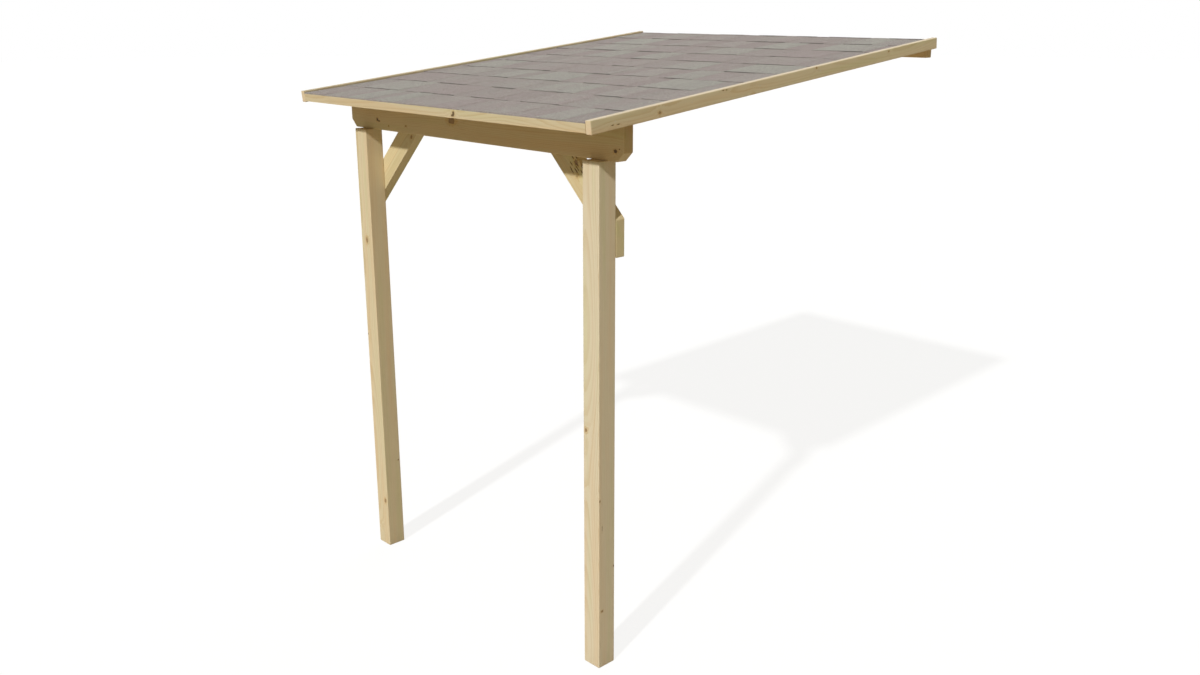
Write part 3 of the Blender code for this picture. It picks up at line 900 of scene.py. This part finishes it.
class CANOPY_OT_posts(bpy.types.Operator):
    """Finish the two posts"""

    bl_idname = "canopy.posts"
    bl_label = "Finish posts"

    def execute(self, context):
        pale = context.scene.canopy_timber.post_colour
        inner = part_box("post_left")[1].x
        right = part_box("post_right")[1].x
        finishes = (
            ("post_left", [part * share for part, share in zip(pale, LEFT_POST)], 3.0,
             knots_at((-0.7885, POST_FRONT, 1.617, 0.0070, 1.9), (-0.7606, POST_FRONT, 0.249, 0.0065, 1.5)),
             knots_at((-0.8300, POST_FRONT, 1.136, 0.0035, 1.6), (inner, -2.0161, 0.460, 0.0026, 1.4))),
            ("post_right", pale, 8.0,
             knots_at((0.7575, POST_FRONT, 1.066, 0.0060, 1.4), (right, -2.0770, 0.267, 0.0052, 0.8)),
             knots_at((right, -2.0896, 0.774, 0.0026, 2.4), (right, -2.0763, 0.650, 0.0011, 12.0),
                      (right, -2.0105, 0.456, 0.0026, 1.6))),
        )
        for node, colour, seed, knots, dead in finishes:
            _, half = middle_and_half(node)
            finish_timber(node, colour, UPWARD, TO_FRONT, half, pith=(0.035, -0.16), seed=seed,
                          share=0.12, knots=knots, dead=dead, splashed=True)
        return {"FINISHED"}


class CANOPY_OT_beam_and_braces(bpy.types.Operator):
    """Finish the front beam and the two knee braces"""

    bl_idname = "canopy.beam_and_braces"
    bl_label = "Finish beam and braces"

    def execute(self, context):
        timber = context.scene.canopy_timber
        _, half = middle_and_half("front_beam")
        knots = knots_at(
            (-0.6115, BEAM_FRONT, 2.173, 0.0030, 1.2), (-0.4745, BEAM_FRONT, 2.183, 0.0028, 2.0),
            (-0.1255, BEAM_FRONT, 2.231, 0.0115, 1.7),
        )
        dead = knots_at(
            (0.8775, BEAM_FRONT, 2.190, 0.0062, 1.35), (0.8985, BEAM_FRONT, 2.199, 0.0022, 1.6),
            (-0.7030, BEAM_FRONT, 2.196, 0.0070, 1.2), (-0.6910, BEAM_FRONT, 2.191, 0.0036, 2.2),
        )
        finish_timber("front_beam", timber.beam_colour, ALONG_X, TO_FRONT, half.zyx, pith=(0.05, -0.12),
                      seed=21.0, share=0.18, knots=knots, dead=dead)
        front = BRACE_LOW.y
        for side, node, seed, knots, dead in (
            (-1, "knee_brace_left", 28.0, knots_at((-0.5037, front, 2.128, 0.0060, 1.2)),
             knots_at((-0.4927, front, 2.156, 0.0022, 2.0))),
            # The right brace's knot and the flecks round it darken its face near the post and beam: partly
            # grain, partly painted shade
            (1, "knee_brace_right", 34.0, knots_at((0.612, front, 2.118, 0.0085, 1.5)),
             brace_grain_and_shade_flecks(front)),
        ):
            finish_timber(node, timber.brace_colour, (-side, 0.0, 1.0), TO_FRONT, BRACE_HALF,
                          pith=(0.02, -0.09), seed=seed, share=0.25, knots=knots, dead=dead)
        return {"FINISHED"}


class CANOPY_OT_ledger_and_rafters(bpy.types.Operator):
    """Finish the ledger on the wall and the rafters"""

    bl_idname = "canopy.ledger_and_rafters"
    bl_label = "Finish ledger and rafters"

    def execute(self, context):
        pale = context.scene.canopy_timber.sawn_colour
        _, half = middle_and_half("wall_ledger")
        finish_timber("wall_ledger", pale, ALONG_X, TO_FRONT, half.zyx, pith=(0.02, 0.09), seed=41.0,
                      share=0.4)
        for number, node in enumerate(RAFTER_NAMES):
            _, half = middle_and_half(node)
            finish_timber(node, pale, ALONG_SLOPE, ALONG_X, (RAFTER_HALF_DEPTH, half.x, half.y),
                          pith=(0.01 * number - 0.02, 0.07), seed=51.0 + 4.0 * number, share=0.4)
        return {"FINISHED"}


class CANOPY_OT_deck(bpy.types.Operator):
    """Finish the deck boards, each with a grain of its own"""

    bl_idname = "canopy.deck"
    bl_label = "Finish deck boards"

    def execute(self, context):
        pale = context.scene.canopy_timber.sawn_colour
        rng = np.random.default_rng(DECK_SEED)
        for number, node in enumerate(DECK_NAMES):
            _, half = middle_and_half(node)
            pith = (rng.uniform(-HEART_SIDE, HEART_SIDE),
                    rng.choice([-1.0, 1.0]) * rng.uniform(*HEART_DEPTH))
            finish_timber(node, pale, ALONG_X, ROOF_UP, (DECK_COVER / 2, DECK_THICKNESS / 2, half.x),
                          pith, seed=101.0 + 7.0 * number, share=0.45, tint=rng.uniform(*DECK_TINTS))
        return {"FINISHED"}


class CANOPY_OT_edge_boards(bpy.types.Operator):
    """Finish the fascia along the eave and the two verge boards"""

    bl_idname = "canopy.edge_boards"
    bl_label = "Finish edge boards"

    def execute(self, context):
        pale = context.scene.canopy_timber.edge_colour
        _, half = middle_and_half("eave_fascia")
        dead = [
            (roof_place(0.1925, EAVE_RUN, 0.005), 0.0095, 0.60),
            (roof_place(0.1860, EAVE_RUN, -0.004), 0.0048, 1.9),
        ]
        finish_timber("eave_fascia", pale, ALONG_X, TO_FRONT, (*FASCIA_HALF, half.x), pith=(0.03, -0.10),
                      seed=71.0, share=0.2, dead=dead, tint=0.92)
        # Each verge board: its outer side, seed, tint and highlight share. The left board's lower tint is
        # painted shade, for its faces that are seen in shadow; the right board's large highlight share
        # paints the light on its top
        for node, outer, seed, tint, highlight_share in (
            ("verge_board_left", -VERGE_OUTER, 78.0, 0.78, 0.1),
            ("verge_board_right", VERGE_OUTER, 84.0, 0.97, 0.85),
        ):
            knots = [(roof_place(outer, run, rise), radius, 1.3) for run, rise, radius in VERGE_KNOTS]
            dead = knots_at(*((outer, y, height, 0.0017, 3.5) for y, height in VERGE_FLECKS))
            finish_timber(node, pale, ALONG_SLOPE, ALONG_X, VERGE_HALF, pith=(0.02, 0.11), seed=seed,
                          share=0.2, knots=knots, dead=dead, tint=tint, highlight_share=highlight_share,
                          end_tint=[part / tint for part in VERGE_END])
        return {"FINISHED"}


class CANOPY_OT_shingles(bpy.types.Operator):
    """Lay the shingles: strips in courses, with the tabs of the upper layer on them"""

    bl_idname = "canopy.shingles"
    bl_label = "Lay shingles"

    def execute(self, context):
        shingles = context.scene.canopy_shingles
        rng = np.random.default_rng(shingles.seed)
        half_width = ROOFING_HIGH.x - SIDE_CLEARANCE
        shapes = []
        tones = []
        shades = []

        strip_top = ROOFING_BOTTOM + STRIP_THICKNESS + shingles.strip_step * (1.0 - SHINGLE_ROWS)
        tab_top = strip_top + shingles.tab_thickness * (1.0 - TAB_THINNING * SHINGLE_ROWS)

        def keep(shape, tone, shade):
            """Keep a slab, with a tone and a shade that step up and down across it."""
            across = shape[0][:, 0]
            shapes.append(shape)
            tones.append(block_values(rng, across, tone, TONE_STEP, rng.uniform(*TONE_BLOCKS)))
            shades.append(block_values(rng, across, shade, SHADE_STEP, rng.uniform(*SHADE_BLOCKS)))

        for course in range(math.ceil((WALL_RUN - EAVE_RUN) / shingles.exposure)):
            butt = EAVE_RUN + EDGE_WAVER + course * shingles.exposure
            head = min(butt + shingles.exposure + HEAD_LAP, WALL_RUN)
            joint = -half_width - rng.uniform(0.0, shingles.strip_length)
            while joint < half_width:
                left = max(joint + HALF_JOINT, -half_width)
                right = min(joint + shingles.strip_length - HALF_JOINT, half_width)
                if right - left > HEAD_LAP:
                    slab = shingle_slab(rng, left, right, 0.0, STRIP_RIM, butt, head, strip_top,
                                        ROOFING_BOTTOM)
                    keep(slab, rng.uniform(*STRIP_TONE), STRIP_SHADE)
                joint += shingles.strip_length
            for left, right in course_layout(rng, half_width, shingles):
                slab = shingle_slab(rng, left, right, shingles.tab_taper, shingles.tab_rim, butt, head,
                                    tab_top, strip_top - TAB_SEAT)
                grey = rng.random() < shingles.grey_share
                keep(slab, rng.uniform(*(GREY_TONE if grey else MAUVE_TONE)), 0.0)
        vertices, faces = join_shapes(shapes)
        granules = shingle_material(shingles)
        piece = add_mesh("shingle_courses", vertices, faces.tolist(), granules, sharp=30.0)
        add_values(piece, "tone", np.concatenate(tones))
        add_values(piece, "shade", np.concatenate(shades))
        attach(piece, BODY)
        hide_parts("shingle_roofing")
        return {"FINISHED"}


class CANOPY_OT_fixings(bpy.types.Operator):
    """Set the screws of the braces and the ledger, and the nails of the verge boards"""

    bl_idname = "canopy.fixings"
    bl_label = "Set screws and nails"

    def execute(self, context):
        fixings = context.scene.canopy_fixings
        zinc = zinc_material(fixings)
        post_x = middle_and_half("post_right")[0].x
        places = [
            (side * (post_x + out), BRACE_HIGH.y, BRACE_LOW.z + height)
            for side in (-1, 1) for out, height in BRACE_SCREWS
        ]
        plate = (fixings.plate_radius, fixings.plate_height, PLATE_DOME)
        set_screws("brace_screws", places, TO_WALL, *plate, zinc)
        ledger_z = (LEDGER_LOW.z + LEDGER_HIGH.z) / 2 - LEDGER_SCREW_DROP
        places = [(x, LEDGER_LOW.y, ledger_z) for x in LEDGER_SCREWS]
        set_screws("ledger_screws", places, TO_FRONT, *plate, zinc)
        nail = (fixings.nail_radius, fixings.nail_height, NAIL_DOME)
        runs = np.linspace(EAVE_RUN + NAIL_MARGIN, WALL_RUN - NAIL_MARGIN, NAIL_COUNT)
        for side, name in ((-1, "verge_nails_left"), (1, "verge_nails_right")):
            places = [roof_place(side * VERGE_OUTER, run, DECK_THICKNESS / 2) for run in runs]
            set_screws(name, places, (side, 0.0, 0.0), *nail, zinc)
        return {"FINISHED"}


def shows_backdrop(sheet):
    """1 for a ray that sees the backdrop, from the camera, a shine or glass, and 0 for a diffuse one."""
    path = sheet.add("ShaderNodeLightPath").outputs
    seen = sheet.math("MAXIMUM", path["Is Camera Ray"], path["Is Glossy Ray"])
    return sheet.math("MAXIMUM", seen, path["Is Transmission Ray"])


def mix_shaders(sheet, share, first, second):
    """One shader, and a share of a second one."""
    return sheet.add("ShaderNodeMixShader", {0: share, 1: first.outputs[0], 2: second.outputs[0]})


def set_camera(scene, stage):
    """The camera at the photo's angle."""
    data = bpy.data.cameras.new("canopy_camera")
    data.lens = stage.lens
    data.sensor_width = SENSOR_WIDTH
    data.clip_end = 4 * stage.floor_radius
    camera = bpy.data.objects.new("canopy_camera", data)
    camera.location = stage.camera_place
    camera.rotation_euler = (math.pi / 2 - stage.camera_dip, 0.0, stage.camera_turn)
    scene.collection.objects.link(camera)
    scene.camera = camera


def set_lights(scene, stage):
    """A key light, a soft light behind, and a plain fill that the camera sees as white."""
    for name, direction, strength, angle in (
        ("key_light", stage.sun_direction, stage.sun_strength, stage.sun_angle),
        ("back_light", stage.back_direction, stage.back_strength, stage.back_angle),
    ):
        lamp = bpy.data.lights.new(name, "SUN")
        lamp.energy = strength
        lamp.angle = angle
        light = bpy.data.objects.new(name, lamp)
        light.rotation_euler = Vector(direction).to_track_quat("Z", "Y").to_euler()
        scene.collection.objects.link(light)
    world = bpy.data.worlds.new("studio")
    world.use_nodes = True
    world.node_tree.nodes.clear()
    scene.world = world
    sheet = Sheet(world.node_tree)
    fill = sheet.add("ShaderNodeBackground", {"Color": FILL_COLOUR, "Strength": stage.fill_strength})
    white = sheet.add("ShaderNodeBackground", {"Color": WHITE, "Strength": 1.0})
    shown = mix_shaders(sheet, shows_backdrop(sheet), fill, white)
    sheet.add("ShaderNodeOutputWorld", {"Surface": shown.outputs[0]})


def lay_floor(stage):
    """A round floor: rings about the canopy whose radius grows with the square of their number, wide
    enough to reach the skyline. The camera sees it white, with the object's shadow."""
    turns = np.linspace(0.0, 2 * math.pi, FLOOR_SIDES, endpoint=False)[None, :]
    reach = stage.floor_radius * np.linspace(FLOOR_START, 1.0, FLOOR_RINGS)[:, None] ** 2
    x = reach * np.cos(turns)
    y = reach * np.sin(turns)
    vertices = np.stack([x, y, np.full_like(x, FLOOR_LEVEL - FLOOR_DROP)], axis=-1).reshape(-1, 3)
    index, walls = ring_faces(*x.shape)
    faces = [*walls[:, ::-1].tolist(), index[0].tolist()]
    material, sheet, shader = new_material("floor_white", specular=0.0)
    sheet.feed(shader.inputs["Base Color"], FLOOR_BOUNCE)
    shader.inputs["Roughness"].default_value = 0.9
    glow = sheet.add("ShaderNodeEmission", {"Color": WHITE, "Strength": FLOOR_GLOW})
    matt = sheet.add("ShaderNodeBsdfDiffuse", {"Color": FLOOR_PAINT})
    pale = mix_shaders(sheet, GLOW_SHARE, matt, glow)
    shown = mix_shaders(sheet, shows_backdrop(sheet), shader, pale)
    sheet.feed(material.node_tree.nodes["Material Output"].inputs["Surface"], shown.outputs[0])
    add_mesh("floor", vertices, faces, material, sharp=30.0)


class CANOPY_OT_stage(bpy.types.Operator):
    """Set the camera, the floor and the light"""

    bl_idname = "canopy.stage"
    bl_label = "Set the stage"

    def execute(self, context):
        scene = context.scene
        set_camera(scene, scene.canopy_stage)
        set_lights(scene, scene.canopy_stage)
        lay_floor(scene.canopy_stage)
        scene.view_settings.view_transform = "Standard"
        return {"FINISHED"}


GROUPS = {
    "canopy_timber": TimberSettings,
    "canopy_shingles": ShingleSettings,
    "canopy_fixings": FixingSettings,
    "canopy_stage": StageSettings,
}

STEPS = (
    CANOPY_OT_posts,
    CANOPY_OT_beam_and_braces,
    CANOPY_OT_ledger_and_rafters,
    CANOPY_OT_deck,
    CANOPY_OT_edge_boards,
    CANOPY_OT_shingles,
    CANOPY_OT_fixings,
    CANOPY_OT_stage,
)


class CANOPY_PT_sidebar(bpy.types.Panel):
    """Settings and steps of the canopy's finish"""

    bl_label = "Side canopy"
    bl_idname = "CANOPY_PT_sidebar"
    bl_space_type = "VIEW_3D"
    bl_region_type = "UI"
    bl_category = "Canopy"

    def draw(self, context):
        for group in GROUPS:
            settings = getattr(context.scene, group)
            box = self.layout.box()
            for name in settings.__annotations__:
                box.prop(settings, name)
        for step in STEPS:
            self.layout.operator(step.bl_idname)


def register():
    for kind in (*GROUPS.values(), *STEPS, CANOPY_PT_sidebar):
        bpy.utils.register_class(kind)
    for name, kind in GROUPS.items():
        setattr(bpy.types.Scene, name, PointerProperty(type=kind))


def unregister():
    for name in GROUPS:
        delattr(bpy.types.Scene, name)
    for kind in reversed((*GROUPS.values(), *STEPS, CANOPY_PT_sidebar)):
        bpy.utils.unregister_class(kind)


def main():
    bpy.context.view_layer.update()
    register()
    draw_groups()
    for step in STEPS:
        group, name = step.bl_idname.split(".")
        getattr(getattr(bpy.ops, group), name)()


if __name__ == "__main__":
    main()
